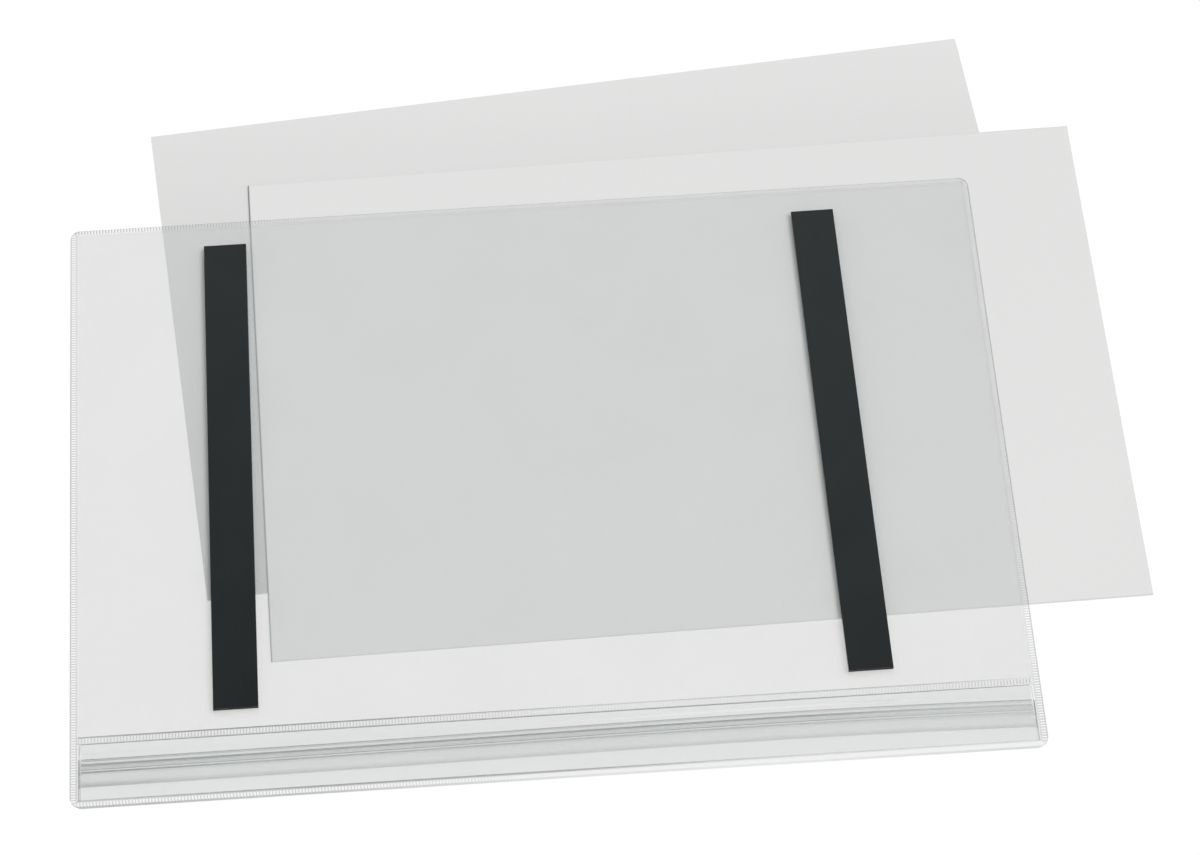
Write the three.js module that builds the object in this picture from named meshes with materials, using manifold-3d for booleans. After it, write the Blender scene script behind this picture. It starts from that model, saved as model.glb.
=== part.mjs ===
// A magnetic pocket for a landscape A4 poster, lying back side up on its two blank insert sheets.
// Millimetres, +Z up. The origin is under the middle of the pocket, on the surface that the set lies on.
// +X runs along the zip, and +Y runs from the zip to the closed top edge.

import Module from 'manifold-3d';
import * as THREE from 'three';
import { mergeVertices } from 'three/addons/utils/BufferGeometryUtils.js';

// The insert sheets are A4 card, loose under the pocket and turned a little (degrees)
const SHEET_LENGTH = 297;
const SHEET_WIDTH = 210;
const SHEET_THICKNESS = 0.3;
const LOOSE_GAP = 0.2;
const LOWER_SHEET_PLACE = { x: 24.7, y: 74.7, turn: 4.7 };
const UPPER_SHEET_PLACE = { x: 53, y: 38, turn: 0.93 };

// The pocket is two films with room between them for a poster
const POCKET_WIDTH = 322;
const POCKET_HEIGHT = 247;
const CORNER_RADIUS = 4.5;
const FILM_THICKNESS = 0.3;
const POSTER_ROOM = 0.6;

// Each welded edge is a thin pressed land, with a slope at its inner side where the two films part
const WELD_WIDTH = 2.7;
const WELD_LAND = 0.55;
const WELD_SLOPE = 0.7;
const WELD_RIM_WIDTH = 0.6;
const WELD_RIM_DROP = 0.35;

// The zip seam and the parts of the zip, as heights above the pocket's bottom edge
const ZIP_SEAM_LOW = 24.6;
const ZIP_SEAM_WIDTH = 3;
const INNER_STRIP_EDGE = 18.8;
const RIB_CENTRE = 14.2;
const LIP_EDGE = 7.5;

// The seam is pressed down between two beads of film that the welding squeezed out
const SEAM_PRESS = 0.2;
const SEAM_BEAD_WIDTH = 0.5;
const SEAM_BEAD_RISE = 0.18;
const SEAM_SAG = 0.1;

// The press-to-close section: a barbed rib stands on the inner strip, and two hooked jaws hold it
const STRIP_THICKNESS = 0.35;
const EDGE_BEAD_WIDTH = 0.9;
const EDGE_BEAD_RISE = 0.3;
const RIB_STEM_HALF = 0.35;
const RIB_HEAD_HALF = 0.9;
const BARB_LOW = 0.55;
const BARB_HIGH = 0.7;
const RIB_HEIGHT = 1.35;
const RIB_HEADROOM = 0.2;
const JAW_OUTER_HALF = 1.9;
const JAW_INNER_HALF = 1.2;
const JAW_FOOT = 0.15;
const JAW_FOOT_BREAK = 0.3;
const HOOK_TIP_HALF = 0.6;
const HOOK_LEAD_HALF = 0.95;
const HOOK_TIP_HEIGHT = 0.5;
const HOOK_ROOT_HEIGHT = 0.6;

// The outer strip bends up from the seam to the jaws, and its grip lip bends down again
const FLAP_GAP = 0.1;
const FLAP_END_GAP = 0.3;
const FLAP_FLAT = 1;
const JAW_SHELF = 0.8;
const LIP_HEADROOM = 0.4;

// Where the zip's ends are crushed into a side weld, the land is thicker
const CRUSH_RISE = 0.4;
const CRUSH_WIDTH = 2.1;

// The magnetic strips, laid by hand and so not quite alike (degrees), and the tape that holds them
const MAGNET_WIDTH = 15;
const MAGNET_LENGTH = 200;
const MAGNET_THICKNESS = 1.5;
const MAGNET_CHAMFER = 0.2;
const LEFT_MAGNET_PLACE = { x: -105.8, y: 11, turn: 0 };
const RIGHT_MAGNET_PLACE = { x: 104.6, y: 10.5, turn: 0.45 };
const TAPE_INSET = 0.5;
const TAPE_THICKNESS = 0.2;

const CURVE_STEPS = 8;

// Levels and places worked out from the dimensions above
const UPPER_SHEET_LOW = SHEET_THICKNESS + LOOSE_GAP;
const FRONT_LOW = 2 * UPPER_SHEET_LOW;
const FRONT_TOP = FRONT_LOW + FILM_THICKNESS;
const BACK_LOW = FRONT_TOP + POSTER_ROOM;
const BACK_TOP = BACK_LOW + FILM_THICKNESS;
const INNER_X = POCKET_WIDTH / 2 - WELD_WIDTH;
const INNER_Y = POCKET_HEIGHT / 2 - WELD_WIDTH;
const BOTTOM_Y = -POCKET_HEIGHT / 2;
const SEAM_LOW_Y = BOTTOM_Y + ZIP_SEAM_LOW;
const SEAM_TOP_Y = SEAM_LOW_Y + ZIP_SEAM_WIDTH;
const RIB_Y = BOTTOM_Y + RIB_CENTRE;
const LIP_Y = BOTTOM_Y + LIP_EDGE;
const INNER_STRIP_TOP_Y = BOTTOM_Y + INNER_STRIP_EDGE;
const INNER_STRIP_TOP = FRONT_TOP + STRIP_THICKNESS;

const CLEAR_FILM = { color: 0xe6e8e7, roughness: 0.15, metalness: 0, transparent: true, opacity: 0.3 };
const WELDED_FILM = { color: 0xd8dad9, roughness: 0.3, metalness: 0, transparent: true, opacity: 0.5 };
const ZIP_PLASTIC = { color: 0xcfd2d1, roughness: 0.25, metalness: 0, transparent: true, opacity: 0.45 };
const MAGNET_RUBBER = { color: 0x2b2f30, roughness: 0.75, metalness: 0 };
const TAPE = { color: 0xcfcabb, roughness: 0.6, metalness: 0 };
const CARD = { color: 0xe2e2e1, roughness: 0.85, metalness: 0 };

const wasm = await Module();
wasm.setup();

function solidFrom(geometry) {
  const bare = geometry.clone();
  bare.deleteAttribute('normal');
  bare.deleteAttribute('uv');
  const merged = mergeVertices(bare);
  const mesh = new wasm.Mesh({
    numProp: 3,
    vertProperties: new Float32Array(merged.attributes.position.array),
    triVerts: new Uint32Array(merged.index.array),
  });
  return new wasm.Manifold(mesh);
}

function geometryFrom(solid) {
  const mesh = solid.getMesh();
  const geometry = new THREE.BufferGeometry();
  geometry.setAttribute('position', new THREE.BufferAttribute(mesh.vertProperties, 3));
  geometry.setIndex(new THREE.BufferAttribute(mesh.triVerts, 1));
  geometry.computeVertexNormals();
  return geometry;
}

function piece(name, geometry, finish) {
  const mesh = new THREE.Mesh(geometry, new THREE.MeshStandardMaterial(finish));
  mesh.name = name;
  return mesh;
}

function extruded(outline, depth) {
  return new THREE.ExtrudeGeometry(outline, { depth, bevelEnabled: false, curveSegments: CURVE_STEPS });
}

// A section drawn as (y, z) and swept along X, with its middle at x = 0
function sweptAlongX(section, length) {
  const alongX = new THREE.Matrix4().makeBasis(
    new THREE.Vector3(0, 1, 0),
    new THREE.Vector3(0, 0, 1),
    new THREE.Vector3(1, 0, 0),
  );
  return extruded(section, length).translate(0, 0, -length / 2).applyMatrix4(alongX);
}

function slab(width, length, low, high) {
  return new THREE.BoxGeometry(width, length, high - low).translate(0, 0, (low + high) / 2);
}

// Films

function frontPanel() {
  return piece('front_panel', slab(2 * INNER_X, 2 * INNER_Y, FRONT_LOW, FRONT_TOP), CLEAR_FILM);
}

function backPanel() {
  const mesh = piece('back_panel', slab(2 * INNER_X, INNER_Y - SEAM_TOP_Y, BACK_LOW, BACK_TOP), CLEAR_FILM);
  mesh.position.y = (INNER_Y + SEAM_TOP_Y) / 2;
  return mesh;
}

// Welded edges, drawn along the bottom edge with the pocket's outline at y = 0

function weldSection() {
  const landTop = FRONT_LOW + WELD_LAND;
  const section = new THREE.Shape();
  section.moveTo(0, FRONT_LOW);
  section.lineTo(WELD_WIDTH, FRONT_LOW);
  section.lineTo(WELD_WIDTH, BACK_TOP);
  section.lineTo(WELD_WIDTH - WELD_SLOPE, landTop);
  section.lineTo(WELD_RIM_WIDTH, landTop);
  section.lineTo(0, landTop - WELD_RIM_DROP);
  return section;
}

// The plan of one edge: mitred to its neighbours, with half of the rounded corner at each end
function weldPlan(length) {
  const half = length / 2;
  const arcCentre = half - CORNER_RADIUS;
  const quarter = Math.PI / 4;
  const plan = new THREE.Shape();
  plan.absarc(arcCentre, CORNER_RADIUS, CORNER_RADIUS, -2 * quarter, -quarter);
  plan.lineTo(half - WELD_WIDTH, WELD_WIDTH);
  plan.lineTo(WELD_WIDTH - half, WELD_WIDTH);
  plan.absarc(-arcCentre, CORNER_RADIUS, CORNER_RADIUS, -3 * quarter, -2 * quarter);
  return plan;
}

function edgeWeld(length) {
  const band = solidFrom(sweptAlongX(weldSection(), length));
  const plan = solidFrom(extruded(weldPlan(length), BACK_TOP));
  return band.intersect(plan);
}

// The crushed zip end reaches from the lip to the inner strip's edge, at the bottom end of a side weld
function crushedEnd(towardsBottom) {
  const length = INNER_STRIP_EDGE - LIP_EDGE;
  const middle = POCKET_HEIGHT / 2 - (INNER_STRIP_EDGE + LIP_EDGE) / 2;
  const top = FRONT_LOW + WELD_LAND + CRUSH_RISE;
  const block = slab(length, CRUSH_WIDTH, FRONT_LOW, top);
  return solidFrom(block.translate(towardsBottom * middle, WELD_WIDTH - CRUSH_WIDTH / 2, 0));
}

function weldPiece(name, solid, x, y, turn) {
  const mesh = piece(name, geometryFrom(solid), WELDED_FILM);
  mesh.position.set(x, y, 0);
  mesh.rotation.z = turn;
  return mesh;
}

function edgeWelds() {
  const halfTurn = Math.PI;
  const quarterTurn = Math.PI / 2;
  const across = edgeWeld(POCKET_WIDTH);
  const upright = edgeWeld(POCKET_HEIGHT);
  const left = upright.add(crushedEnd(1));
  const right = upright.add(crushedEnd(-1));
  return [
    weldPiece('bottom_weld', across, 0, BOTTOM_Y, 0),
    weldPiece('top_weld', across, 0, -BOTTOM_Y, halfTurn),
    weldPiece('left_weld', left, -POCKET_WIDTH / 2, 0, -quarterTurn),
    weldPiece('right_weld', right, POCKET_WIDTH / 2, 0, quarterTurn),
  ];
}

// A rounded bead from one point of a section to the next, rising above a level half way between them
function addBead(section, from, to, level, rise) {
  const pull = 2 * (level + rise) - (from.z + to.z) / 2;
  section.quadraticCurveTo((from.y + to.y) / 2, pull, to.y, to.z);
}

// The seam that joins the back panel to the outer zip strip
function zipWeld() {
  const low = BACK_LOW - SEAM_SAG;
  const land = BACK_TOP - SEAM_PRESS;
  const topEdge = { y: SEAM_TOP_Y, z: BACK_TOP };
  const topFoot = { y: SEAM_TOP_Y - SEAM_BEAD_WIDTH, z: land };
  const lowFoot = { y: SEAM_LOW_Y + SEAM_BEAD_WIDTH, z: land };
  const lowEdge = { y: SEAM_LOW_Y, z: BACK_TOP };
  const section = new THREE.Shape();
  section.moveTo(SEAM_LOW_Y, BACK_LOW);
  section.lineTo(SEAM_LOW_Y + SEAM_SAG, low);
  section.lineTo(SEAM_TOP_Y - SEAM_SAG, low);
  section.lineTo(SEAM_TOP_Y, BACK_LOW);
  section.lineTo(topEdge.y, topEdge.z);
  addBead(section, topEdge, topFoot, BACK_TOP, SEAM_BEAD_RISE);
  section.lineTo(lowFoot.y, lowFoot.z);
  addBead(section, lowFoot, lowEdge, BACK_TOP, SEAM_BEAD_RISE);
  return piece('zip_weld', sweptAlongX(section, 2 * INNER_X), WELDED_FILM);
}

// Zip

function innerZipStrip() {
  const low = FRONT_TOP;
  const top = INNER_STRIP_TOP;
  const tip = top + RIB_HEIGHT;
  const barb = top + BARB_HIGH;
  const edge = { y: INNER_STRIP_TOP_Y, z: top };
  const edgeFoot = { y: INNER_STRIP_TOP_Y - EDGE_BEAD_WIDTH, z: top };
  const section = new THREE.Shape();
  section.moveTo(-INNER_Y, low);
  section.lineTo(edge.y, low);
  section.lineTo(edge.y, edge.z);
  addBead(section, edge, edgeFoot, top, EDGE_BEAD_RISE);
  section.lineTo(RIB_Y + RIB_STEM_HALF, top);
  section.lineTo(RIB_Y + RIB_STEM_HALF, top + BARB_LOW);
  section.lineTo(RIB_Y + RIB_HEAD_HALF, barb);
  section.quadraticCurveTo(RIB_Y + RIB_STEM_HALF, tip, RIB_Y, tip);
  section.quadraticCurveTo(RIB_Y - RIB_STEM_HALF, tip, RIB_Y - RIB_HEAD_HALF, barb);
  section.lineTo(RIB_Y - RIB_STEM_HALF, top + BARB_LOW);
  section.lineTo(RIB_Y - RIB_STEM_HALF, top);
  section.lineTo(-INNER_Y, top);
  return piece('zip_inner_strip', sweptAlongX(section, 2 * INNER_X), ZIP_PLASTIC);
}

// One jaw's outline from its outer root, round the hook, to its inner root
function jawOutline(root) {
  const foot = INNER_STRIP_TOP + JAW_FOOT;
  return [
    [JAW_OUTER_HALF, root],
    [JAW_OUTER_HALF, foot + JAW_FOOT_BREAK],
    [JAW_OUTER_HALF - JAW_FOOT_BREAK, foot],
    [HOOK_LEAD_HALF, foot],
    [HOOK_TIP_HALF, INNER_STRIP_TOP + HOOK_TIP_HEIGHT],
    [JAW_INNER_HALF, INNER_STRIP_TOP + HOOK_ROOT_HEIGHT],
    [JAW_INNER_HALF, root],
  ];
}

function outerZipStrip() {
  const flapY = SEAM_LOW_Y - FLAP_GAP;
  const bendY = flapY - FLAP_FLAT;
  const shelfTopY = RIB_Y + JAW_OUTER_HALF + JAW_SHELF;
  const shelfLowY = RIB_Y - JAW_OUTER_HALF - JAW_SHELF;
  const lipY = LIP_Y + STRIP_THICKNESS / 2;
  const upperBendY = (bendY + shelfTopY) / 2;
  const lowerBendY = (shelfLowY + lipY) / 2;

  const flapLow = BACK_TOP - STRIP_THICKNESS;
  const shelfLow = INNER_STRIP_TOP + RIB_HEIGHT + RIB_HEADROOM;
  const shelfTop = shelfLow + STRIP_THICKNESS;
  const lipLow = INNER_STRIP_TOP + LIP_HEADROOM;
  const lipTop = lipLow + STRIP_THICKNESS;
  const lipMiddle = (lipLow + lipTop) / 2;

  const section = new THREE.Shape();
  section.moveTo(flapY, BACK_TOP);
  section.lineTo(bendY, BACK_TOP);
  section.bezierCurveTo(upperBendY, BACK_TOP, upperBendY, shelfTop, shelfTopY, shelfTop);
  section.lineTo(shelfLowY, shelfTop);
  section.bezierCurveTo(lowerBendY, shelfTop, lowerBendY, lipTop, lipY, lipTop);
  section.absarc(lipY, lipMiddle, STRIP_THICKNESS / 2, Math.PI / 2, 1.5 * Math.PI);
  section.bezierCurveTo(lowerBendY, lipLow, lowerBendY, shelfLow, shelfLowY, shelfLow);
  const jaw = jawOutline(shelfLow);
  jaw.forEach(([reach, height]) => section.lineTo(RIB_Y - reach, height));
  jaw.reverse().forEach(([reach, height]) => section.lineTo(RIB_Y + reach, height));
  section.lineTo(shelfTopY, shelfLow);
  section.bezierCurveTo(upperBendY, shelfLow, upperBendY, flapLow, bendY, flapLow);
  section.lineTo(flapY, flapLow);
  return piece('zip_outer_strip', sweptAlongX(section, 2 * (INNER_X - FLAP_END_GAP)), ZIP_PLASTIC);
}

// Magnetic strips

function rectangle(width, length) {
  const outline = new THREE.Shape();
  outline.moveTo(-width / 2, -length / 2);
  outline.lineTo(width / 2, -length / 2);
  outline.lineTo(width / 2, length / 2);
  outline.lineTo(-width / 2, length / 2);
  return outline;
}

function magnetGeometry() {
  const outline = rectangle(MAGNET_WIDTH - 2 * MAGNET_CHAMFER, MAGNET_LENGTH - 2 * MAGNET_CHAMFER);
  const geometry = new THREE.ExtrudeGeometry(outline, {
    depth: MAGNET_THICKNESS - 2 * MAGNET_CHAMFER,
    bevelSize: MAGNET_CHAMFER,
    bevelThickness: MAGNET_CHAMFER,
    bevelSegments: 1,
  });
  return geometry.translate(0, 0, MAGNET_CHAMFER);
}

function magnetWithTape(side, place) {
  const tapeWidth = MAGNET_WIDTH - 2 * TAPE_INSET;
  const tapeLength = MAGNET_LENGTH - 2 * TAPE_INSET;
  const tape = piece(`${side}_adhesive_tape`, slab(tapeWidth, tapeLength, 0, TAPE_THICKNESS), TAPE);
  const magnet = piece(`${side}_magnet_strip`, magnetGeometry(), MAGNET_RUBBER);
  magnet.position.z = TAPE_THICKNESS;
  const group = new THREE.Group();
  group.add(tape, magnet);
  group.position.set(place.x, place.y, BACK_TOP);
  group.rotation.z = THREE.MathUtils.degToRad(place.turn);
  return group;
}

// Insert sheets

function insertSheet(name, place, low) {
  const sheet = piece(name, slab(SHEET_LENGTH, SHEET_WIDTH, 0, SHEET_THICKNESS), CARD);
  sheet.position.set(place.x, place.y, low);
  sheet.rotation.z = THREE.MathUtils.degToRad(place.turn);
  return sheet;
}

const posterPocket = new THREE.Group();
posterPocket.add(
  insertSheet('lower_insert_sheet', LOWER_SHEET_PLACE, 0),
  insertSheet('upper_insert_sheet', UPPER_SHEET_PLACE, UPPER_SHEET_LOW),
  frontPanel(),
  backPanel(),
  ...edgeWelds(),
  zipWeld(),
  innerZipStrip(),
  outerZipStrip(),
  magnetWithTape('left', LEFT_MAGNET_PLACE),
  magnetWithTape('right', RIGHT_MAGNET_PLACE),
);

export default posterPocket;
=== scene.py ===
# %% [markdown]
# # A magnetic poster pocket
# The object is a flat pocket of clear soft film for a landscape poster. It lies back side up on two blank
# cards, with a press-to-close zip along its lower edge and two black magnetic strips on its back.
# The CAD model gives the main sizes and places, so the first step loads it as a fixed frame.
# The black strips and their tapes keep their CAD shapes. Everything soft is modelled again here.

# %% Load the frame
import math

import bmesh
import bpy
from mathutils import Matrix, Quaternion, Vector


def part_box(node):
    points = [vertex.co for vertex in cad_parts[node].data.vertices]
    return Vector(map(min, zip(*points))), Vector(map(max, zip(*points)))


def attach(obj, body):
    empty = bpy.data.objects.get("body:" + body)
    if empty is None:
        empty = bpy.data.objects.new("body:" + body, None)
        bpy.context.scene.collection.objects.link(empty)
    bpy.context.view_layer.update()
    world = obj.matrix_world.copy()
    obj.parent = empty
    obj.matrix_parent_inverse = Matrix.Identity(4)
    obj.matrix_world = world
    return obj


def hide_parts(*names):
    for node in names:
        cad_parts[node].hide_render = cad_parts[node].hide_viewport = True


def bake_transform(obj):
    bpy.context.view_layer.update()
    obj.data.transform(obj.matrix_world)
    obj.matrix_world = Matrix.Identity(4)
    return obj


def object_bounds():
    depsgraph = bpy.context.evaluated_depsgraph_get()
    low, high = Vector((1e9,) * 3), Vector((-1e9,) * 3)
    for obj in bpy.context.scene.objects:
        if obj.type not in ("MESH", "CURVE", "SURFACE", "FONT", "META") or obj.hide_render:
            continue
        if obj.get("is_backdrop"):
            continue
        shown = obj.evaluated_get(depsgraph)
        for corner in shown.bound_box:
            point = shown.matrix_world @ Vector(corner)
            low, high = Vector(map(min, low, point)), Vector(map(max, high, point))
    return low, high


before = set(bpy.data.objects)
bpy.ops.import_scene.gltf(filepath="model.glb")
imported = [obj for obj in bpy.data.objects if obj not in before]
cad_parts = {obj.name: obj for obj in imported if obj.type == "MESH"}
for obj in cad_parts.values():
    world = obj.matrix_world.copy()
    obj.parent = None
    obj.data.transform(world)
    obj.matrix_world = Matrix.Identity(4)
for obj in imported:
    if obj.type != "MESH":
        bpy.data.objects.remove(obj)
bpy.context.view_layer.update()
MM = 0.001


# %% [markdown]
# ## Levels and edges from the frame
# The later sections are drawn in millimetres. They start from a few levels and edges of the CAD nodes, so
# they follow the frame if it changes.

# %% Levels and edges
def ends(node):
    low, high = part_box(node)
    return low / MM, high / MM


front_low, front_high = ends("front_panel")
back_low, back_high = ends("back_panel")
FRONT_LOW, FRONT_TOP = front_low.z, front_high.z
BACK_LOW, BACK_TOP = back_low.z, back_high.z
BOTTOM = ends("bottom_weld")[0].y
WIDTH = 2 * ends("right_weld")[1].x
HEIGHT = 2 * ends("top_weld")[1].y
print("pocket", round(WIDTH, 1), "x", round(HEIGHT, 1), "mm, back film up to", round(BACK_TOP, 2), "mm")


# %% [markdown]
# ## Small tools for the modelling
# Operators act on whatever is selected, and the loaded nodes are selected, so each piece starts by
# deselecting everything. Inside edit mode, faces and points are then picked by where they are.

# %% Starting a piece and picking parts of it
def start_fresh():
    if bpy.context.mode != "OBJECT":
        bpy.ops.object.mode_set(mode="OBJECT")
    bpy.ops.object.select_all(action="DESELECT")


def named(name):
    piece = bpy.context.object
    piece.name = piece.data.name = name
    return piece


def pick(piece, kind, wanted):
    """Selects, in edit mode, the faces or points that wanted(item) says yes to."""
    bpy.ops.mesh.select_mode(type="FACE" if kind == "faces" else "VERT")
    bpy.ops.mesh.select_all(action="DESELECT")
    shape = bmesh.from_edit_mesh(piece.data)
    for item in getattr(shape, kind):
        item.select_set(wanted(item))
    shape.select_flush_mode()
    bmesh.update_edit_mesh(piece.data)


def apply_all(piece):
    for modifier in list(piece.modifiers):
        bpy.ops.object.modifier_apply(modifier=modifier.name)


def tell(piece):
    low, high = Vector(piece.bound_box[0]), Vector(piece.bound_box[6])
    print(piece.name, len(piece.data.polygons), "faces,", [round(s / MM, 2) for s in high - low], "mm")


# %% [markdown]
# ## The two blank cards
# Each card is a loose sheet of A4 stock. A plane would be flat as glass, and real card never is: it keeps a
# faint swell from the stack it came from. A fine grid is scaled to the sheet's size, turned and put in
# place in edit mode. A Displace modifier with a soft cloud texture gives the swell, and Solidify then gives
# the stock its thickness.

# %% A sheet with a soft swell
SHEET_SIZE = (0.297, 0.210)
SWELL = 0.12 * MM
STILL_GREY = 0.35
SMOOTH_BELOW = math.radians(30)


def soft_clouds(name, size):
    clouds = bpy.data.textures.new(name, "CLOUDS")
    clouds.noise_scale = size
    clouds.noise_depth = 1
    return clouds


def swollen_grid(name, middle, size, cells, turn, clouds, thickness):
    """A turned sheet that swells where the clouds are lighter than STILL_GREY and sinks elsewhere."""
    start_fresh()
    bpy.ops.mesh.primitive_grid_add(x_subdivisions=cells[0], y_subdivisions=cells[1], size=1)
    piece = named(name)
    bpy.ops.object.mode_set(mode="EDIT")
    bpy.ops.transform.resize(value=(size[0], size[1], 1))
    # With no window this operator turns the other way, so the angle is given with a minus.
    bpy.ops.transform.rotate(value=-turn, orient_axis="Z", center_override=(0, 0, 0))
    bpy.ops.transform.translate(value=middle)
    bpy.ops.object.mode_set(mode="OBJECT")
    displace = piece.modifiers.new("swell", "DISPLACE")
    displace.texture = clouds
    displace.texture_coords = "LOCAL"
    displace.direction = "Z"
    displace.strength = SWELL
    displace.mid_level = STILL_GREY
    solidify = piece.modifiers.new("stock", "SOLIDIFY")
    solidify.thickness = thickness
    solidify.offset = 0
    apply_all(piece)
    bpy.ops.object.shade_smooth_by_angle(angle=SMOOTH_BELOW)
    return piece


print("sheets of", [round(side / MM) for side in SHEET_SIZE], "mm")

# %% [markdown]
# The cards lie askew, the lower one more than the upper one. Their places come from the frame. The angles
# are those at which the CAD sheets lie, because a box around a turned sheet doesn't tell its turn.

# %% The upper and the lower card
CARD = 0.3 * MM
CARD_CELLS = (66, 47)
CARD_CLOUDS = 0.09
CARD_TURN = {"upper": math.radians(0.93), "lower": math.radians(4.7)}
card_swell = soft_clouds("card swell", CARD_CLOUDS)
cards = {}
card_middle = {}
for side, turn in CARD_TURN.items():
    node = f"{side}_insert_sheet"
    low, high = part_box(node)
    card_middle[side] = (low + high) / 2
    cards[side] = swollen_grid(
        f"{side}_card", card_middle[side], SHEET_SIZE, CARD_CELLS, turn, card_swell, CARD
    )
    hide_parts(node)
    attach(cards[side], f"{side}_sheet")
    tell(cards[side])

# %% [markdown]
# ## The two clear films
# The front film fills the pocket from weld to weld, and the back film stops at the zip seam. They are soft,
# so they get the same grid, with a shorter swell from smaller clouds. A little room is left at the rims,
# where the welds begin, so that no two faces lie in one place.

# %% Front and back film
FILM = 0.3 * MM
FILM_CELLS = (80, 60)
FILM_CLOUDS = 0.06
ROOM = 0.06
film_swell = soft_clouds("film swell", FILM_CLOUDS)
films = {}
for side in ("front", "back"):
    node = f"{side}_panel"
    low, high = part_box(node)
    size = (high.x - low.x - ROOM * MM, high.y - low.y - ROOM * MM)
    films[side] = swollen_grid(f"{side}_film", (low + high) / 2, size, FILM_CELLS, 0, film_swell, FILM)
    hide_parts(node)
    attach(films[side], "pocket")
    tell(films[side])


# %% [markdown]
# ## A section, drawn point by point
# Welds and zip strips have one section along their whole length. A section is drawn as by hand: a plane is
# merged to a single point, and that point is extruded from corner to corner. The loop is filled, and the
# fill is what gets extruded along X. Such a cell is left open at both ends, so that copies of it can merge.

# %% Drawing a section and repeating a cell
SAME_PLACE = 0.01
LIES_ACROSS = 0.99


def trace_section(name, section):
    start_fresh()
    bpy.ops.mesh.primitive_plane_add(size=MM)
    piece = named(name)
    bpy.ops.object.mode_set(mode="EDIT")
    bpy.ops.mesh.select_mode(type="VERT")
    bpy.ops.mesh.merge(type="CENTER")
    bpy.ops.transform.translate(value=(0, section[0][0] * MM, section[0][1] * MM))
    for (y, z), (next_y, next_z) in zip(section, section[1:]):
        bpy.ops.mesh.extrude_region_move(
            TRANSFORM_OT_translate={"value": (0, (next_y - y) * MM, (next_z - z) * MM)}
        )
    bpy.ops.mesh.select_all(action="SELECT")
    bpy.ops.mesh.edge_face_add()
    return piece


def draw_along(piece, steps):
    """Extrudes the filled section along X step by step and opens its two ends."""
    for step in steps:
        bpy.ops.mesh.extrude_region_move(TRANSFORM_OT_translate={"value": (step * MM, 0, 0)})
    pick(piece, "faces", lambda face: abs(face.normal.x) > LIES_ACROSS)
    bpy.ops.mesh.delete(type="ONLY_FACE")


def repeat_along(piece, pitch, count, start):
    """Repeats the open cell with a merging Array, closes the ends and moves it to its start."""
    bpy.ops.object.mode_set(mode="OBJECT")
    row = piece.modifiers.new("row", "ARRAY")
    row.count = count
    row.use_relative_offset = False
    row.use_constant_offset = True
    row.constant_offset_displace = (pitch * MM, 0, 0)
    row.use_merge_vertices = True
    row.merge_threshold = SAME_PLACE * MM
    apply_all(piece)
    bpy.ops.object.mode_set(mode="EDIT")
    bpy.ops.mesh.select_all(action="SELECT")
    bpy.ops.mesh.fill_holes(sides=0)
    bpy.ops.mesh.normals_make_consistent(inside=False)
    bpy.ops.transform.translate(value=(start * MM, 0, 0))


# %% [markdown]
# ## The dark lines of clear plastic
# Clear plastic looks dark where its surface is steep, because it bends in light from the dark sides of the
# room. Tracing that light through a dozen thin layers is slow and noisy. Instead that darkness is painted
# shade: each face of the welds and the zip notes in an attribute, from 0 to 1, how dark it should look, and
# the clear finishes read it. Every kind of piece has its own rule for that.

# %% Noting the dark lines
def ramp(value, run):
    """Rises from 0 to 1 while the value rises from 0 to run."""
    return max(0, min(1, value / run))


def note_shade(piece, rule):
    shade = piece.data.attributes.new("shade", "FLOAT", "FACE")
    shade.data.foreach_set("value", [ramp(rule(face), 1) for face in piece.data.polygons])


# %% [markdown]
# ## The welded edges
# A heated tool fused the two films along each edge. It pressed a flat land beside the rim and left the
# films to swell up again in a short slope. The section starts at the rim and is given in millimetres
# inwards and upwards.

# %% The section of an edge
WELD_WIDTH = 2.64
LAND_RISE = 0.55
FILM_EDGE = 0.1
SLOPE_TOP = 2.35
SLOPE_FOOT = 2.05
RIDGE_FAR = 1.95
RIDGE_NEAR = 0.5
RIM_START = 0.4
RIM_DROP = 0.35

LAND = FRONT_LOW + LAND_RISE
edge_ridge = [(RIDGE_FAR, LAND), (RIDGE_NEAR, LAND)]
edge_section = [
    (0, FRONT_LOW),
    (WELD_WIDTH, FRONT_LOW),
    (WELD_WIDTH, BACK_TOP - FILM_EDGE),
    (SLOPE_TOP, BACK_TOP),
    (SLOPE_FOOT, LAND),
    *edge_ridge,
    (RIM_START, LAND),
    (0, LAND - RIM_DROP),
]
print("edge section:", len(edge_section), "points")

# %% [markdown]
# The tool also left a fine row of ridges across the seam. One pitch of the band is modelled: the section is
# extruded in four steps, which makes five rings of points, and the second and third ring are lifted for the
# ridge. An Array repeats that cell. Bisect then cuts the mitres and, in short flats, the rounded corners.

# %% One ridged band
WELD_PITCH = 1.07
RIDGE = 0.2
RIDGE_CELL = (0.4, 0.2, 0.2, 0.2)
RISING = (0.3, 0.7)
CORNER = 4.5
CORNER_FLATS = (-82.5, -67.5, -52.5)
HAIR = 0.02
ON_PLANE = 1e-7


def ridged_band(name, section, ridge, length):
    """ridge names the section's points that rise, in the rings between the two shares of RISING."""
    count = math.ceil(length / WELD_PITCH)
    pitch = length / count
    band = trace_section(name, section)
    draw_along(band, [share * pitch for share in RIDGE_CELL])
    crest = [Vector((y, z)) * MM for y, z in ridge]
    pick(
        band,
        "verts",
        lambda point: RISING[0] < point.co.x / pitch / MM < RISING[1]
        and min((point.co.yz - at).length for at in crest) < SAME_PLACE * MM,
    )
    bpy.ops.transform.translate(value=(0, 0, RIDGE * MM))
    repeat_along(band, pitch, count, -length / 2)
    return band


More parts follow.
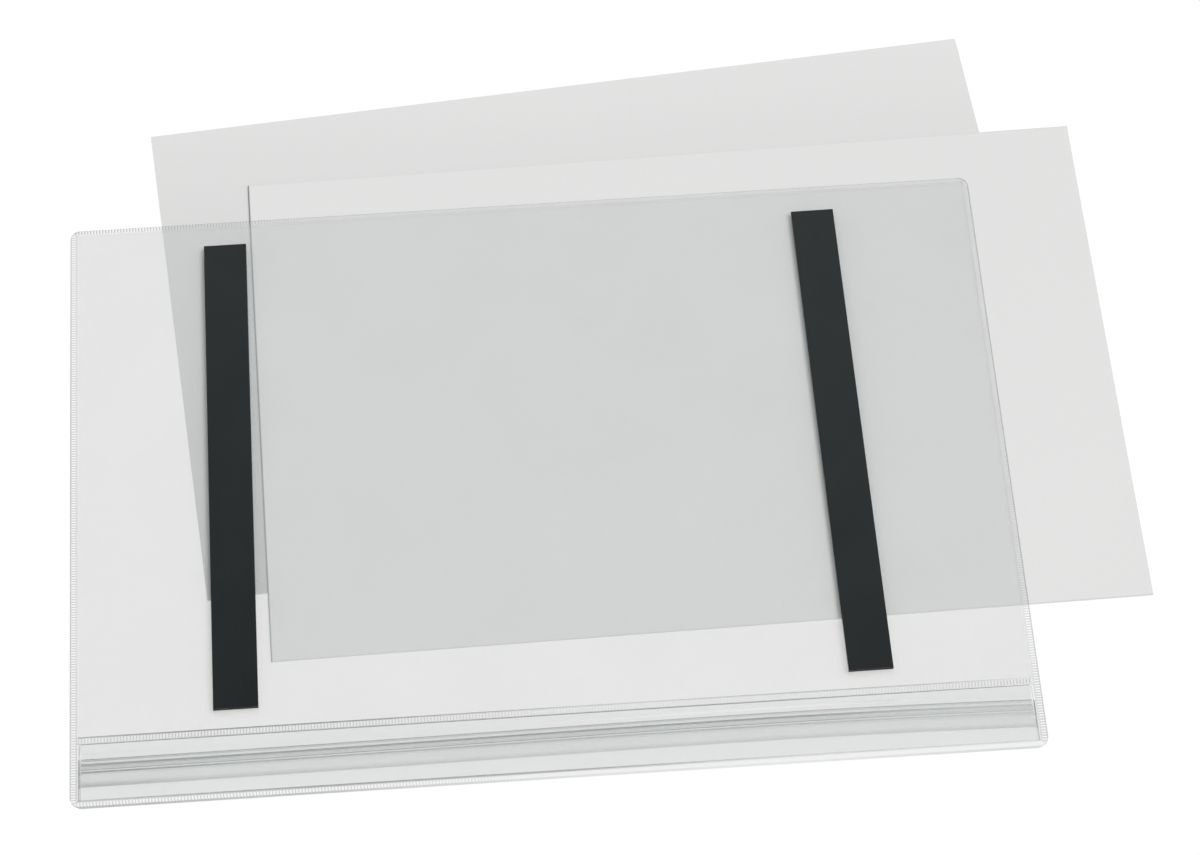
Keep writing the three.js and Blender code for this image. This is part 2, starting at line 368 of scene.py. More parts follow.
def trim(at, facing):
    bpy.ops.mesh.select_all(action="SELECT")
    bpy.ops.mesh.bisect(
        plane_co=Vector(at) * MM, plane_no=facing, use_fill=True, clear_outer=True, threshold=ON_PLANE
    )


def edge_band(name, length):
    band = ridged_band(name, edge_section, edge_ridge, length)
    half = length / 2
    for end in (1, -1):
        trim((end * (half - HAIR), 0, 0), (end, 1, 0))
        for angle in CORNER_FLATS:
            out = Vector((end * math.cos(math.radians(angle)), math.sin(math.radians(angle)), 0))
            trim(Vector((end * (half - CORNER), CORNER, 0)) + out * CORNER, out)
    bpy.ops.object.mode_set(mode="OBJECT")
    return band


# %% [markdown]
# On a weld the painted shade darkens one flank of each ridge, the rim and the slope towards the film. How
# much each of them shows changes along an edge. It is given as a row of evenly spaced values from the
# edge's start to its end, going round the pocket against the clock. The tilts below say which way such a
# face has to look.

# %% The dark lines of the edges
RIDGES = {
    "bottom": (0.36, 0.34, 0.12, 0.08, 0.06),
    "top": (0, 0, 0.04, 0.2, 0.65),
    "left": (0.6, 0.6),
    "right": (0.5, 0.26, 0.17, 0.15, 0.15),
}
RIM = {
    "bottom": (0.72, 0.62, 0.3, 0.2, 0.4),
    "top": (0.55, 0.55),
    "left": (0.5, 0.62, 0.62, 0.55, 0.55),
    "right": (0.55, 0.55),
}
SLOPE = {
    "bottom": (0.28, 0.52, 0.45, 0.16, 0.12),
    "top": (0.05, 0.05),
    "left": (0.42, 0.36, 0.4, 0.36, 0.5),
    "right": (0.4, 0.25, 0.25, 0.25, 0.25),
}
SLOPE_FROM = 1.9
UNDERSIDE = -0.9
MITRE_TILT = 0.6
RIM_TILT = 0.1
FLANK_TILT = 0.15


def along_row(row, share):
    """Reads a row of evenly spaced values at a share of its length."""
    at = share * (len(row) - 1)
    first = min(int(at), len(row) - 2)
    return row[first] + (row[first + 1] - row[first]) * (at - first)


def edge_shade(face, side, length):
    share = face.center.x / MM / length + 0.5
    normal = face.normal
    mitre = normal.y > MITRE_TILT and abs(normal.x) > MITRE_TILT
    if mitre or normal.z < UNDERSIDE:
        return 0
    if face.center.y / MM > SLOPE_FROM:
        return along_row(SLOPE[side], share)
    if normal.y < -RIM_TILT:
        return along_row(RIM[side], share)
    return along_row(RIDGES[side], share) if normal.x < -FLANK_TILT else 0


print("shade rows for", len(RIDGES), "edges")


# %% [markdown]
# The long and the short edges each need a whole number of ridges, so every edge is made at its own length,
# lying as the bottom edge lies. It notes its shades there and is then turned into place.

# %% The four edges, turned into place
def put(piece, x, y, turn):
    piece.location = (x * MM, y * MM, 0)
    piece.rotation_euler.z = turn
    bpy.ops.object.transform_apply(location=True, rotation=True, scale=True)


edges = {}
for side, length, x, y, turn in (
    ("bottom", WIDTH, 0, -HEIGHT / 2, 0),
    ("right", HEIGHT, WIDTH / 2, 0, math.pi / 2),
    ("top", WIDTH, 0, HEIGHT / 2, math.pi),
    ("left", HEIGHT, -WIDTH / 2, 0, -math.pi / 2),
):
    edges[side] = edge_band(f"{side}_edge_weld", length)
    note_shade(edges[side], lambda face: edge_shade(face, side, length))
    put(edges[side], x, y, turn)
    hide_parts(f"{side}_weld")
    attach(edges[side], "pocket")
    tell(edges[side])

# %% [markdown]
# ## The zip seam
# The back film is welded to the zip along a narrow band with the same ridges. Its two borders are low
# beads of squeezed-out film, and the land between them is pressed down. It is the same cell as the edges,
# with a section of its own. One border is drawn and mirrored for the other.

# %% The section of the seam
BEAD_RISE = 0.18
BEAD_START = 0.14
BEAD_END = 0.28
BEAD_FOOT = 0.5
RIDGE_INSET = 0.6
SEAM_DROP = 0.2
SEAM_UNDER = 0.1

seam_low, seam_high = ends("zip_weld")
SEAM_START = seam_low.y
SEAM_END = seam_high.y - HAIR
SEAM_LENGTH = seam_high.x - seam_low.x - ROOM
seam_land = BACK_TOP - SEAM_DROP
seam_bead = BACK_TOP + BEAD_RISE
border = [
    (0, BACK_TOP),
    (BEAD_START, seam_bead),
    (BEAD_END, seam_bead),
    (BEAD_FOOT, seam_land),
    (RIDGE_INSET, seam_land),
]
seam_section = (
    [(SEAM_START, BACK_LOW), (SEAM_START + SEAM_UNDER, BACK_LOW - SEAM_UNDER)]
    + [(SEAM_END - SEAM_UNDER, BACK_LOW - SEAM_UNDER), (SEAM_END, BACK_LOW)]
    + [(SEAM_END - inset, z) for inset, z in border]
    + [(SEAM_START + inset, z) for inset, z in reversed(border)]
)
seam_ridge = [(SEAM_END - RIDGE_INSET, seam_land), (SEAM_START + RIDGE_INSET, seam_land)]
print("seam section:", len(seam_section), "points,", round(SEAM_LENGTH, 1), "mm long")

# %% [markdown]
# The painted shade draws the dark lines of the seam on the two beads, more so where they are steep, and the
# shaded ridges show between them. Their strengths change along the seam too, so the ridges, the far bead
# and the near bead each have a row of values from left to right. Some are above 1, because a bead's face
# takes only the part of them that its steepness gives.

# %% The zip seam
SEAM_RIDGES = (0.3, 0.4, 0.35, 0.3, 0.18, 0.14, 0.14, 0.2, 0.35)
SEAM_FAR = (1.1, 2.2, 2.0, 1.2, 0.65, 0.5, 0.75, 0.7, 0.15)
SEAM_NEAR = (1.0, 1.6, 1.7, 1.6, 1.5, 1.7, 1.5, 1.0, 0.25)
SEAM_UNDERSIDE = -0.5
SEAM_ENDS = 0.9
FLAT_BEAD = 0.2


def seam_shade(face):
    share = face.center.x / MM / SEAM_LENGTH + 0.5
    normal = face.normal
    if normal.z < SEAM_UNDERSIDE or abs(normal.x) > SEAM_ENDS:
        return 0
    if abs(normal.x) > FLANK_TILT:
        return along_row(SEAM_RIDGES, share) if normal.x < 0 else 0
    from_near = face.center.y / MM - SEAM_START
    from_far = SEAM_END - face.center.y / MM
    if min(from_near, from_far) > BEAD_FOOT:
        return 0
    row = SEAM_NEAR if from_near < from_far else SEAM_FAR
    return along_row(row, share) * max(FLAT_BEAD, 1 - normal.z)


zip_seam = ridged_band("zip_seam_weld", seam_section, seam_ridge, SEAM_LENGTH)
bpy.ops.object.mode_set(mode="OBJECT")
note_shade(zip_seam, seam_shade)
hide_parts("zip_weld")
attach(zip_seam, "pocket")
tell(zip_seam)

# %% [markdown]
# ## The press-to-close zip
# The zip is two extruded strips. The inner one carries a barbed rib and a low bead along its far edge. Its
# section is drawn in heights above the pocket's bottom edge. The rib is given for one side, as steps out
# from its middle and up from the strip, and mirrored.

# %% The inner strip's section
RIB = 14.2
EDGE = 18.8
STRIP = 0.35
INNER_START = WELD_WIDTH + 0.1
INNER_LOW = FRONT_TOP + HAIR
INNER_TOP = FRONT_TOP + STRIP

rib_half = [(0.35, 0), (0.35, 0.55), (0.9, 0.7), (0.8, 0.97), (0.55, 1.21), (0.25, 1.33)]
edge_bead = [(0.1, -0.15), (0.1, 0.15), (-0.1, 0.3), (-0.5, 0.25), (-0.8, 0)]
inner_section = (
    [(INNER_START, INNER_LOW), (EDGE, INNER_LOW)]
    + [(EDGE + out, INNER_TOP + up) for out, up in edge_bead]
    + [(RIB + out, INNER_TOP + up) for out, up in rib_half]
    + [(RIB - out, INNER_TOP + up) for out, up in reversed(rib_half)]
    + [(INNER_START, INNER_TOP)]
)
print("inner section:", len(inner_section), "points")

# %% [markdown]
# The outer strip bends up from the seam to a shelf with two hooked jaws that snap over the rib, and down
# again to a lip to pull it open by. Its upper and lower side are the same smooth line at two levels. The
# lower one is parted at the rib to let the jaws in.

# %% The outer strip's section
LIP = 7.5
LIP_LOW = INNER_TOP + 0.4
LIP_CORNER = 0.05
SHELF = 3.2
SHELF_HALF = 2.7
FLAP = SEAM_START - BOTTOM
FLAP_FLAT = 1.1

jaw = [(1.9, SHELF), (1.9, 2.1), (1.6, 1.8), (0.95, 1.8), (0.6, 2.15), (1.2, 2.25), (1.2, SHELF)]


def bend(start, pull_start, pull_end, end, steps=8):
    """Points along a smooth bend, without its first point."""
    points = []
    for step in range(1, steps + 1):
        t = step / steps
        u = 1 - t
        points.append(
            tuple(
                u**3 * a + 3 * u * u * t * b + 3 * u * t * t * c + t**3 * d
                for a, b, c, d in zip(start, pull_start, pull_end, end)
            )
        )
    return points


def flap_side(flap, shelf, lip):
    """One side of the outer strip, from the seam over the shelf to the lip."""
    first, bent = FLAP - FLAP_FLAT, RIB + SHELF_HALF
    middle = (first + bent) / 2
    side = [(FLAP - HAIR, flap), (first, flap)]
    side += bend((first, flap), (middle, flap), (middle, shelf), (bent, shelf))
    bent, last = RIB - SHELF_HALF, LIP + STRIP / 2
    middle = (bent + last) / 2
    return side + [(bent, shelf)] + bend((bent, shelf), (middle, shelf), (middle, lip), (last, lip))


upper_side = flap_side(BACK_TOP, SHELF + STRIP, LIP_LOW + STRIP)
lower_side = flap_side(BACK_TOP - STRIP, SHELF, LIP_LOW)
lip_round = [
    (LIP + LIP_CORNER, LIP_LOW + (STRIP - LIP_CORNER)),
    (LIP, LIP_LOW + STRIP / 2),
    (LIP + LIP_CORNER, LIP_LOW + LIP_CORNER),
]
below_jaws = [point for point in lower_side if point[0] < RIB]
above_jaws = [point for point in lower_side if point[0] > RIB]
outer_section = (
    upper_side
    + lip_round
    + below_jaws[::-1]
    + [(RIB - out, z) for out, z in jaw]
    + [(RIB + out, z) for out, z in reversed(jaw)]
    + above_jaws[::-1]
)
print("outer section:", len(outer_section), "points")

# %% [markdown]
# The strips don't lie dead straight: the zip swells up a little towards its right half, as soft extrusions
# do between two fixed ends. All points of the strips are moved by one smooth curve, so they bow together.
# Their ends are pressed flat, as the side welds crush them.

# %% The bow and the crushed ends
ZIP_HALF = ends("zip_inner_strip")[1].x - ROOM
FLAP_HALF = ends("zip_outer_strip")[1].x
BOW_SIDE = 0.9
BOW_UP = 0.7
BOW_START = 3
BOW_START_RUN = 5
BOW_STOP = FLAP - 0.3
BOW_STOP_RUN = 6
CRUSH = 1.0
FLAT = 0.3
CRUSHED_TO = 0.15
CRUSH_LEVEL = 1.4


def bow(piece):
    for point in piece.data.vertices:
        along = (point.co.x / MM + ZIP_HALF) / (2 * ZIP_HALF)
        height = point.co.y / MM
        across = ramp(BOW_STOP - height, BOW_STOP_RUN) * ramp(height - BOW_START, BOW_START_RUN)
        share = math.sin(math.pi * ramp(along, 1) ** 2) * across * across * (3 - 2 * across)
        point.co.y += BOW_SIDE * share * MM
        point.co.z += BOW_UP * share * MM


def crush(piece, end):
    """Draws one end out by a short ramp, presses it flat as the side weld does, and adds a flat rim."""
    pick(piece, "faces", lambda face: end * face.normal.x > LIES_ACROSS)
    bpy.ops.mesh.extrude_region_move(TRANSFORM_OT_translate={"value": (end * (CRUSH - FLAT) * MM, 0, 0)})
    bpy.ops.transform.resize(value=(1, 1, CRUSHED_TO), center_override=(0, 0, CRUSH_LEVEL * MM))
    bpy.ops.mesh.extrude_region_move(TRANSFORM_OT_translate={"value": (end * FLAT * MM, 0, 0)})


print("zip", round(2 * ZIP_HALF, 1), "mm long, bowed by", BOW_SIDE, "mm sideways and", BOW_UP, "mm up")

# %% [markdown]
# The painted shade draws the dark lines of the zip on the steep sides of the jaws, the rib and the bead,
# most on those that look to the far side, and lays a soft painted shade on the lip. Both are strongest at
# the left end and fade to the right, so both have a row of values. The crushed ends get a dark flat rim of
# painted shade, with a paler ramp before it. Faces are judged in the straight strip, before it bows.

# %% The dark lines of the zip
ZIP_LINES = (1.7, 1.25, 1.05, 0.9, 0.86, 0.86, 0.8, 0.48, 0.3)
ZIP_LIP = (0.3, 0.2, 0.18, 0.16, 0.15, 0.15, 0.15, 0.15, 0.16)
OUTER_SHORTER = ZIP_HALF + ROOM - FLAP_HALF
RIM_SHADE = 0.35
RIM_FAINT = 0.08
RAMP_JAWS = 0.17
RAMP_LIP = 0.12
RAMP_REST = 0.05
BEAD_FROM = RIB + 3
BEAD_BELOW = 2.1
BEAD_LINE = 1.6
BEAD_LEAST = 0.75
NEAR_JAW = 0.45
FAR_JAW = 1.1
LINE_MEAN = 0.55
LINE_SWING = 0.45
LIP_ABOVE = 2
LIP_SHADE_TO = RIB - 4.2
LIP_SHADE_RUN = 2
LEAST_SLOPE = 0.01


def end_ramp(height):
    if abs(height - RIB) < SHELF_HALF:
        return RAMP_JAWS
    return RAMP_LIP if LIP < height < RIB else RAMP_REST


def zip_shade(face):
    along, height, level = face.center / MM
    normal = face.normal
    if abs(along) > ZIP_HALF - OUTER_SHORTER - FLAT:
        return RIM_FAINT if along > 0 and height > EDGE else RIM_SHADE
    share = along / (2 * ZIP_HALF) + 0.5
    lines = along_row(ZIP_LINES, share)
    if abs(along) > ZIP_HALF - OUTER_SHORTER - CRUSH:
        return end_ramp(height) * max(1, lines)
    steep = 1 - abs(normal.z) / max(LEAST_SLOPE, math.hypot(normal.y, normal.z))
    if level < BEAD_BELOW and height > BEAD_FROM:
        return BEAD_LINE * steep * max(lines, BEAD_LEAST)
    lip = ramp(LIP_SHADE_TO - height, LIP_SHADE_RUN) if level > LIP_ABOVE else 0
    jaw_line = NEAR_JAW if height < RIB else FAR_JAW
    line = steep * jaw_line * lines * (LINE_MEAN + LINE_SWING * normal.y)
    return max(line, along_row(ZIP_LIP, share) * lip)


print("zip lines fade from", ZIP_LINES[0], "to", ZIP_LINES[-1])

# %% [markdown]
# One function makes each strip from its section. One long extrusion couldn't bow, so the section is drawn
# out into a cell of about 3 mm, and an Array repeats it. The inner strip is crushed at both ends.

# %% The inner strip
CELL = 3


def strip(name, section, start, end, crushed):
    """Repeats a section from start to end and crushes the ends that are named by their signs."""
    count = math.ceil((end - start) / CELL)
    pitch = (end - start) / count
    piece = trace_section(name, section)
    draw_along(piece, [pitch])
    repeat_along(piece, pitch, count, start)
    for side in crushed:
        crush(piece, side)
    bpy.ops.object.mode_set(mode="OBJECT")
    note_shade(piece, zip_shade)
    bow(piece)
    put(piece, 0, BOTTOM, 0)
    return piece


inner_half = ZIP_HALF - CRUSH
inner_strip = strip("zip_rib_strip", inner_section, -inner_half, inner_half, (-1, 1))
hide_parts("zip_inner_strip")
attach(inner_strip, "pocket")
tell(inner_strip)

# %% [markdown]
# The outer strip's ends are crushed into the side welds, so on the real pocket only its middle lifts. It is
# made in two halves.

# %% The outer strip in two halves
jaw_strips = []
for side, way in (("left", -1), ("right", 1)):
    span = sorted((0, way * (FLAP_HALF - CRUSH)))
    half = strip(f"zip_jaw_strip_{side}", outer_section, *span, (way,))
    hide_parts("zip_outer_strip")
    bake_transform(half)
    jaw_strips.append(half)
    tell(half)

# %% [markdown]
# ## Finishes
# Every finish has a soft mottle: card is cloudy, film is smudged, rubber is grainy. That is one node group,
# a noise whose range is set where it is used. Noise rarely leaves its middle values, so those are spread
# over the whole range.

# %% The mottle group
NOISE_LOW = 0.3
NOISE_HIGH = 0.7


def mottle_group():
    group = bpy.data.node_groups.new("mottle", "ShaderNodeTree")
    for name, kind, default in (
        ("Vector", "NodeSocketVector", None),
        ("Scale", "NodeSocketFloat", 100.0),
        ("Detail", "NodeSocketFloat", 3.0),
        ("Low", "NodeSocketFloat", 0.0),
        ("High", "NodeSocketFloat", 1.0),
    ):
        socket = group.interface.new_socket(name=name, in_out="INPUT", socket_type=kind)
        if default is not None:
            socket.default_value = default
    group.interface.new_socket(name="Value", in_out="OUTPUT", socket_type="NodeSocketFloat")
    inside = group.nodes.new("NodeGroupInput")
    outside = group.nodes.new("NodeGroupOutput")
    noise = group.nodes.new("ShaderNodeTexNoise")
    spread = group.nodes.new("ShaderNodeMapRange")
    spread.inputs["From Min"].default_value = NOISE_LOW
    spread.inputs["From Max"].default_value = NOISE_HIGH
    for socket in ("Vector", "Scale", "Detail"):
        group.links.new(inside.outputs[socket], noise.inputs[socket])
    group.links.new(noise.outputs["Fac"], spread.inputs["Value"])
    group.links.new(inside.outputs["Low"], spread.inputs["To Min"])
    group.links.new(inside.outputs["High"], spread.inputs["To Max"])
    group.links.new(spread.outputs["Result"], outside.inputs["Value"])
    return group


mottle = mottle_group()
print("group:", mottle.name)


# %% [markdown]
# A finish is a handful of nodes and links. This small class keeps them short to write: a value given to a
# socket is set there, and another node's output is linked to it.

# %% Building a finish node by node
class Finish:
    """A material with a short way to add and link nodes."""

    def __init__(self, name):
        self.material = bpy.data.materials.new(name)
        self.material.use_nodes = True
        self.tree = self.material.node_tree
        self.tree.nodes.clear()
        self.place = self.add("ShaderNodeTexCoord").outputs["Object"]

    def add(self, kind, **inputs):
        node = self.tree.nodes.new(kind)
        for name, value in inputs.items():
            self.set(node, name.replace("_", " "), value)
        return node

    def set(self, node, socket, value):
        if isinstance(value, bpy.types.NodeSocket):
            self.tree.links.new(value, node.inputs[socket])
        else:
            node.inputs[socket].default_value = value

    def mottle(self, scale, low, high, detail=3.0, stretch=None):
        place = self.place
        if stretch:
            place = self.add("ShaderNodeMapping", Vector=place, Scale=stretch).outputs["Vector"]
        node = self.tree.nodes.new("ShaderNodeGroup")
        node.node_tree = mottle
        for socket, value in (
            ("Vector", place),
            ("Scale", scale),
            ("Detail", detail),
            ("Low", low),
            ("High", high),
        ):
            self.set(node, socket, value)
        return node.outputs["Value"]

    def along(self, axis, start, end):
        """Rises from 0 to 1 between two places along an axis."""
        place = self.add("ShaderNodeSeparateXYZ", Vector=self.place).outputs[axis]
        return self.add("ShaderNodeMapRange", Value=place, From_Min=start, From_Max=end).outputs["Result"]

    def maths(self, operation, first, second):
        node = self.tree.nodes.new("ShaderNodeMath")
        node.operation = operation
        self.set(node, 0, first)
        self.set(node, 1, second)
        return node.outputs["Value"]

    def between(self, share, first, second):
        """Mixes two colours, which a Mix node takes at inputs 6 and 7 and gives at output 2."""
        node = self.tree.nodes.new("ShaderNodeMix")
        node.data_type = "RGBA"
        self.set(node, "Factor", share)
        self.set(node, 6, first)
        self.set(node, 7, second)
        return node.outputs[2]

    def mix(self, share, first, second):
        """Mixes the shaders of two nodes."""
        node = self.add("ShaderNodeMixShader", Fac=share)
        self.tree.links.new(first.outputs[0], node.inputs[1])
        self.tree.links.new(second.outputs[0], node.inputs[2])
        return node

    def bump(self, height, strength, distance):
        node = self.add("ShaderNodeBump", Height=height, Strength=strength, Distance=distance)
        return node.outputs["Normal"]

    def finish(self, shader):
        out = self.add("ShaderNodeOutputMaterial")
        self.tree.links.new(shader.outputs[0], out.inputs["Surface"])
        return self.material


def grey(level, warm=0.0):
    return (level * (1 + warm), level, level * (1 - warm), 1.0)


# %% [markdown]
# ### Card
# Blank card is matt and nearly even. Its tone drifts from the near to the far side, by a hair on the upper
# card. On the lower one the near side is darker: that is painted shade, where the pocket and the upper card
# lie over it. A large cloud varies the tone by a hundredth, a fine one gives the fibres, and the same
# fibres lift the surface very slightly.
# The upper card's left edge shows as a narrow dark line, the shadow it would cast if it stood up a little.
# Under the pocket there is no room to lift it, so its finish has a painted shadow along the rim, strong at
# the left and faint at the near and far edge. A Mapping node turns the coordinates back by the card's turn,
# so that the painted shadow follows the edges.

# %% Card
CARD_WARM = 0.003
DRIFT_AND_SHADE_NEAR = -0.07
DRIFT_AND_SHADE_FAR = 0.19
SHADOW_RIM_WIDTH = 0.6 * MM


def painted_shadow_rims(card, side, shown, strengths):
    """Paints a shadow along the card's left, near and far edge, each by its strength."""
    turned = card.add("ShaderNodeMapping", Vector=card.place, Rotation=(0, 0, -CARD_TURN[side]))
    own = card.add("ShaderNodeSeparateXYZ", Vector=turned.outputs["Vector"])
    middle = Quaternion((0, 0, 1), -CARD_TURN[side]) @ card_middle[side]
    left = middle.x - SHEET_SIZE[0] / 2
    near = middle.y - SHEET_SIZE[1] / 2
    far = middle.y + SHEET_SIZE[1] / 2
    shadow_rims = (("X", left, SHADOW_RIM_WIDTH), ("Y", near, SHADOW_RIM_WIDTH), ("Y", far, -SHADOW_RIM_WIDTH))
    for strength, (axis, edge, inwards) in zip(strengths, shadow_rims):
        line = card.add(
            "ShaderNodeMapRange",
            Value=own.outputs[axis],
            From_Min=edge,
            From_Max=edge + inwards,
            To_Min=strength,
            To_Max=0,
        )
        shown = card.between(line.outputs["Result"], shown, grey(0.1))
    return shown


def card_finish(side, near, far, shadow_rims=()):
    """near and far are the tones at the near and the far side; on the lower card the darker near side is
    painted shade.
    """
    card = Finish(f"{side} card")
    clouds = card.mottle(scale=9, low=0, high=0.04)
    fibres = card.mottle(scale=1400, low=0, high=1, detail=4, stretch=(1, 0.35, 1))
    tone_and_shade_drift = card.along("Y", DRIFT_AND_SHADE_NEAR, DRIFT_AND_SHADE_FAR)
    tone = card.between(tone_and_shade_drift, grey(near, CARD_WARM), grey(far, CARD_WARM))
    cloudy = card.between(clouds, tone, grey(0.9))
    shown = card.between(card.maths("MULTIPLY", fibres, 0.03), cloudy, grey(0.4))
    if shadow_rims:
        shown = painted_shadow_rims(card, side, shown, shadow_rims)
    shader = card.add(
        "ShaderNodeBsdfPrincipled",
        Base_Color=shown,
        Roughness=card.mottle(scale=700, low=0.72, high=0.86),
        Normal=card.bump(fibres, strength=0.15, distance=0.02 * MM),
    )
    shader.inputs["Specular IOR Level"].default_value = 0.2
    return card.finish(shader)


# The lower card's darker near side is painted shade, and the upper card gets painted shadows along its
# rims.
cards["lower"].data.materials.append(card_finish("lower", near=0.53, far=0.745))
cards["upper"].data.materials.append(card_finish("upper", near=0.745, far=0.735, shadow_rims=(1, 0.14, 0.1)))
print("card finishes done")


# %% [markdown]
# ### Clear plastic
# Film, weld and zip are the same clear PVC. What shows through is a Transparent shader with a slight tint,
# and a mirror takes a share that grows at flat angles: the Facing output of Layer Weight, to the fifth
# power, is the usual short form of that law. A thin haze on top is a rough pale plastic, smudged by the
# mottle. On weld and zip the tint turns darker where the shade attribute is high: that is painted shade.
# Only the camera's rays meet all this: for the lamp and the sky the film is a nearly clear pane, so that it
# throws only a faint shadow, as thin film does.

# %% Clear plastic
SHADE_LOW = 0.05
SHADE_HIGH = 0.8
MIRROR_LEAST = 0.04
MIRROR_POWER = 5.0
VEIL_DARK = (0.76, 0.885, 0.905, 1)
VEIL_PALE = (0.84, 0.975, 0.995, 1)


def with_painted_shade(clear, tint, painted_shade_tint):
    """The tint, turned darker by painted shade where the shade attribute is high."""
    shade = clear.add("ShaderNodeAttribute")
    shade.attribute_name = "shade"
    dark = clear.add(
        "ShaderNodeMapRange", Value=shade.outputs["Fac"], From_Min=SHADE_LOW, From_Max=SHADE_HIGH
    )
    return clear.between(dark.outputs["Result"], tint, painted_shade_tint)


def clear_finish(name, tint, haze, lets_light, rough, painted_shade_tint=None):
    """rough is given as the two ends of its mottle. A film notes no painted shade, so it needs no tint for
    it.
    """
    clear = Finish(name)
    shown = with_painted_shade(clear, tint, painted_shade_tint) if painted_shade_tint else tint
    through = clear.add("ShaderNodeBsdfTransparent", Color=shown)
    facing = clear.add("ShaderNodeLayerWeight", Blend=0.5).outputs["Facing"]
    grazing = clear.maths("POWER", facing, MIRROR_POWER)
    mirrored = clear.maths("ADD", clear.maths("MULTIPLY", grazing, 1 - MIRROR_LEAST), MIRROR_LEAST)
    gloss = clear.add(
        "ShaderNodeBsdfGlossy", Color=(1, 1, 1, 1), Roughness=clear.mottle(60, rough[0], rough[1])
    )
    surface = clear.mix(mirrored, through, gloss)
    smudged = clear.between(clear.mottle(25, 0, 1), VEIL_DARK, VEIL_PALE)
    veil = clear.add("ShaderNodeBsdfPrincipled", Base_Color=smudged, Roughness=0.4)
    hazy = clear.mix(haze, surface, veil)
    pane = clear.add("ShaderNodeBsdfTransparent", Color=grey(lets_light))
    camera_ray = clear.add("ShaderNodeLightPath").outputs["Is Camera Ray"]
    return clear.finish(clear.mix(camera_ray, pane, hazy))


film_finish = clear_finish(
    "clear film",
    tint=(0.957, 0.95, 0.947, 1),
    haze=0.059,
    lets_light=0.993,
    rough=(0.06, 0.16),
)
weld_finish = clear_finish(
    "welded film",
    tint=(0.957, 0.954, 0.952, 1),
    haze=0.05,
    lets_light=0.975,
    rough=(0.1, 0.25),
    painted_shade_tint=grey(0.45),
)
zip_finish = clear_finish(
    "zip plastic",
    tint=(0.942, 0.94, 0.938, 1),
    haze=0.043,
    lets_light=0.98,
    rough=(0.03, 0.07),
    painted_shade_tint=grey(0.4),
)
for piece in films.values():
    piece.data.materials.append(film_finish)
for piece in (*edges.values(), zip_seam):
    piece.data.materials.append(weld_finish)
for piece in (inner_strip, *jaw_strips):
    piece.data.materials.append(zip_finish)
print("clear finishes done")


# %% [markdown]
# ### Magnetic rubber and tape
# The strips are flexible magnet: black, matt and a little grainy, with faint streaks along their length
# from the rolls. They turn lighter towards the far end and the right, a painted sheen, and a cloud adds a
# breath of dust. The tape that holds them is pale and fibrous. Both go on the CAD nodes.

# %% Magnetic rubber and tape
BLACK = (0.002, 0.005, 0.0058, 1)
DUST_AND_SHEEN = (0.018, 0.0228, 0.024, 1)
STREAK = (0.012, 0.016, 0.017, 1)
TAPE_DARK = (0.56, 0.53, 0.44, 1)
TAPE_PALE = (0.68, 0.65, 0.57, 1)


def rubber_finish():
    rubber = Finish("magnet rubber")
    grain = rubber.mottle(scale=2600, low=0, high=1, detail=5)
    streaks = rubber.mottle(scale=420, low=0, high=1, stretch=(1, 0.02, 1))
    clouds = rubber.mottle(scale=35, low=0, high=1)
    # The far end and the right side turn lighter: painted sheen. The clouds add a breath of dust.
    far = rubber.along("Y", start=-0.1, end=0.12)
    right = rubber.along("X", start=-0.12, end=0.12)
    dust_and_sheen = rubber.maths("MULTIPLY", far, 0.7)
    dust_and_sheen = rubber.maths("ADD", dust_and_sheen, rubber.maths("MULTIPLY", right, 0.35))
    dust_and_sheen = rubber.maths("ADD", dust_and_sheen, rubber.maths("MULTIPLY", clouds, 0.25))
    tone = rubber.between(dust_and_sheen, BLACK, DUST_AND_SHEEN)
    tone = rubber.between(rubber.maths("MULTIPLY", streaks, 0.3), tone, STREAK)
    shader = rubber.add(
        "ShaderNodeBsdfPrincipled",
        Base_Color=tone,
        Roughness=rubber.mottle(scale=500, low=0.4, high=0.5),
        Normal=rubber.bump(grain, strength=0.25, distance=0.05 * MM),
    )
    shader.inputs["Specular IOR Level"].default_value = 0.25
    return rubber.finish(shader)


def tape_finish():
    tape = Finish("adhesive tape")
    fibres = tape.mottle(scale=900, low=0, high=1, detail=4, stretch=(1, 0.2, 1))
    shader = tape.add(
        "ShaderNodeBsdfPrincipled",
        Base_Color=tape.between(fibres, TAPE_DARK, TAPE_PALE),
        Roughness=tape.mottle(scale=600, low=0.5, high=0.7),
        Normal=tape.bump(fibres, strength=0.2, distance=0.03 * MM),
    )
    return tape.finish(shader)


rubber = rubber_finish()
tape = tape_finish()
for side in ("left", "right"):
    for node, material in ((f"{side}_magnet_strip", rubber), (f"{side}_adhesive_tape", tape)):
        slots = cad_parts[node].data.materials
        slots.clear()
        slots.append(material)
print("rubber and tape finishes done")

# %% [markdown]
# ## Floor, light and camera
# The floor is a wide pale sheet that glows by itself, like a light table, so that shadows on it stay faint.
# It lies a hair below the lower card.

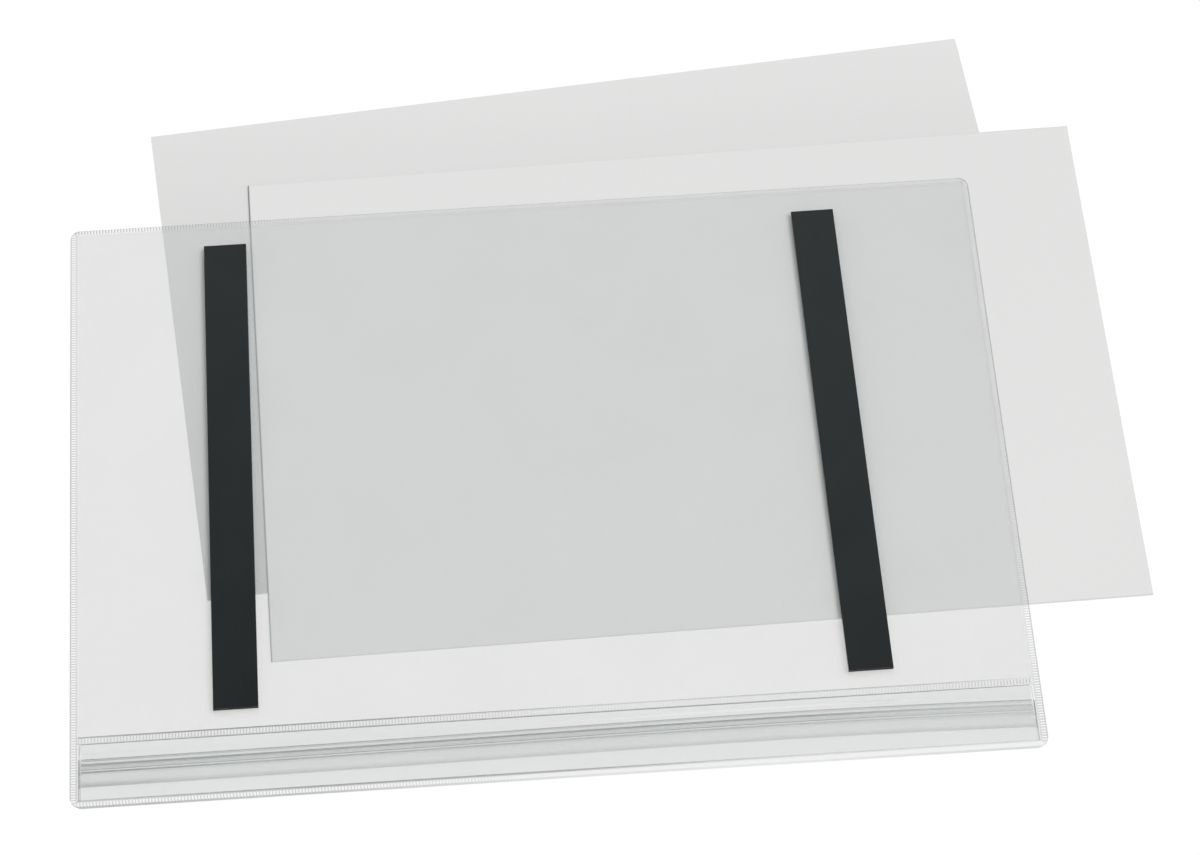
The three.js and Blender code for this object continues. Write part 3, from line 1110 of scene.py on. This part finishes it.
# %% Floor
FLOOR_SIZE = 60
FLOOR_DROP = 0.05 * MM
start_fresh()
bpy.ops.mesh.primitive_plane_add(size=FLOOR_SIZE, location=(0, 0, -FLOOR_DROP))
floor = named("floor")
pale = Finish("floor")
clouds = pale.mottle(scale=3, low=0, high=1)
shader = pale.add(
    "ShaderNodeBsdfPrincipled",
    Base_Color=pale.between(clouds, grey(0.36), grey(0.37)),
    Emission_Color=pale.between(clouds, grey(0.615), grey(0.625)),
    Emission_Strength=1.0,
    Roughness=0.9,
)
floor.data.materials.append(pale.finish(shader))
floor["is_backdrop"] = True
print("floor", [round(side, 2) for side in floor.dimensions], "m")

# %% [markdown]
# The room is evenly bright, and one wide lamp high at the front right gives the strips and the cards their
# short shadows. A wider lamp would wash them out, and a narrower one would draw hard edges.

# %% Light
SKY = 0.55
SUN = 1.75
SUN_FROM = (0.38, -0.3, 0.87)
SUN_WIDTH = math.radians(28)
world = bpy.data.worlds.new("soft studio")
bpy.context.scene.world = world
world.use_nodes = True
sky = world.node_tree.nodes["Background"]
sky.inputs["Color"].default_value = (1, 1, 1, 1)
sky.inputs["Strength"].default_value = SKY

start_fresh()
bpy.ops.object.light_add(type="SUN", location=SUN_FROM)
lamp = bpy.context.object
lamp.data.angle = SUN_WIDTH
lamp.data.energy = SUN
lamp.rotation_mode = "QUATERNION"
lamp.rotation_quaternion = (-lamp.location).to_track_quat("-Z", "Y")
print("sky", SKY, "and lamp", SUN)

# %% [markdown]
# The camera was found from the corners of the two cards, whose size is known. It looks down at about 52
# degrees with a long lens and a slight roll. Its rays may pass many clear faces before they end.

# %% Camera
LOOK_AT = Vector((22.153, 20.424, 1.3)) * MM
STAND_AT = Vector((-21.314, -1018.737, 1345.502)) * MM
ROLL = math.radians(-1.65)
LENS = 147.44
SENSOR = 36
CLEAR_FACES = 64
bpy.ops.object.camera_add(location=STAND_AT)
camera = bpy.context.object
camera.rotation_mode = "QUATERNION"
aim = (LOOK_AT - STAND_AT).to_track_quat("-Z", "Y")
camera.rotation_quaternion = aim @ Quaternion((0, 0, 1), ROLL)
camera.data.lens = LENS
camera.data.sensor_width = SENSOR
bpy.context.scene.camera = camera
bpy.context.scene.view_settings.view_transform = "Standard"
bpy.context.scene.cycles.transparent_max_bounces = CLEAR_FACES
print("camera", round((LOOK_AT - STAND_AT).length, 3), "m away")

# %% [markdown]
# ## Sizes and the end
# The box of the finished model is printed, in millimetres.

# %% Sizes
low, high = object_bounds()
print("visual box in mm:", [round(side / MM, 1) for side in high - low])
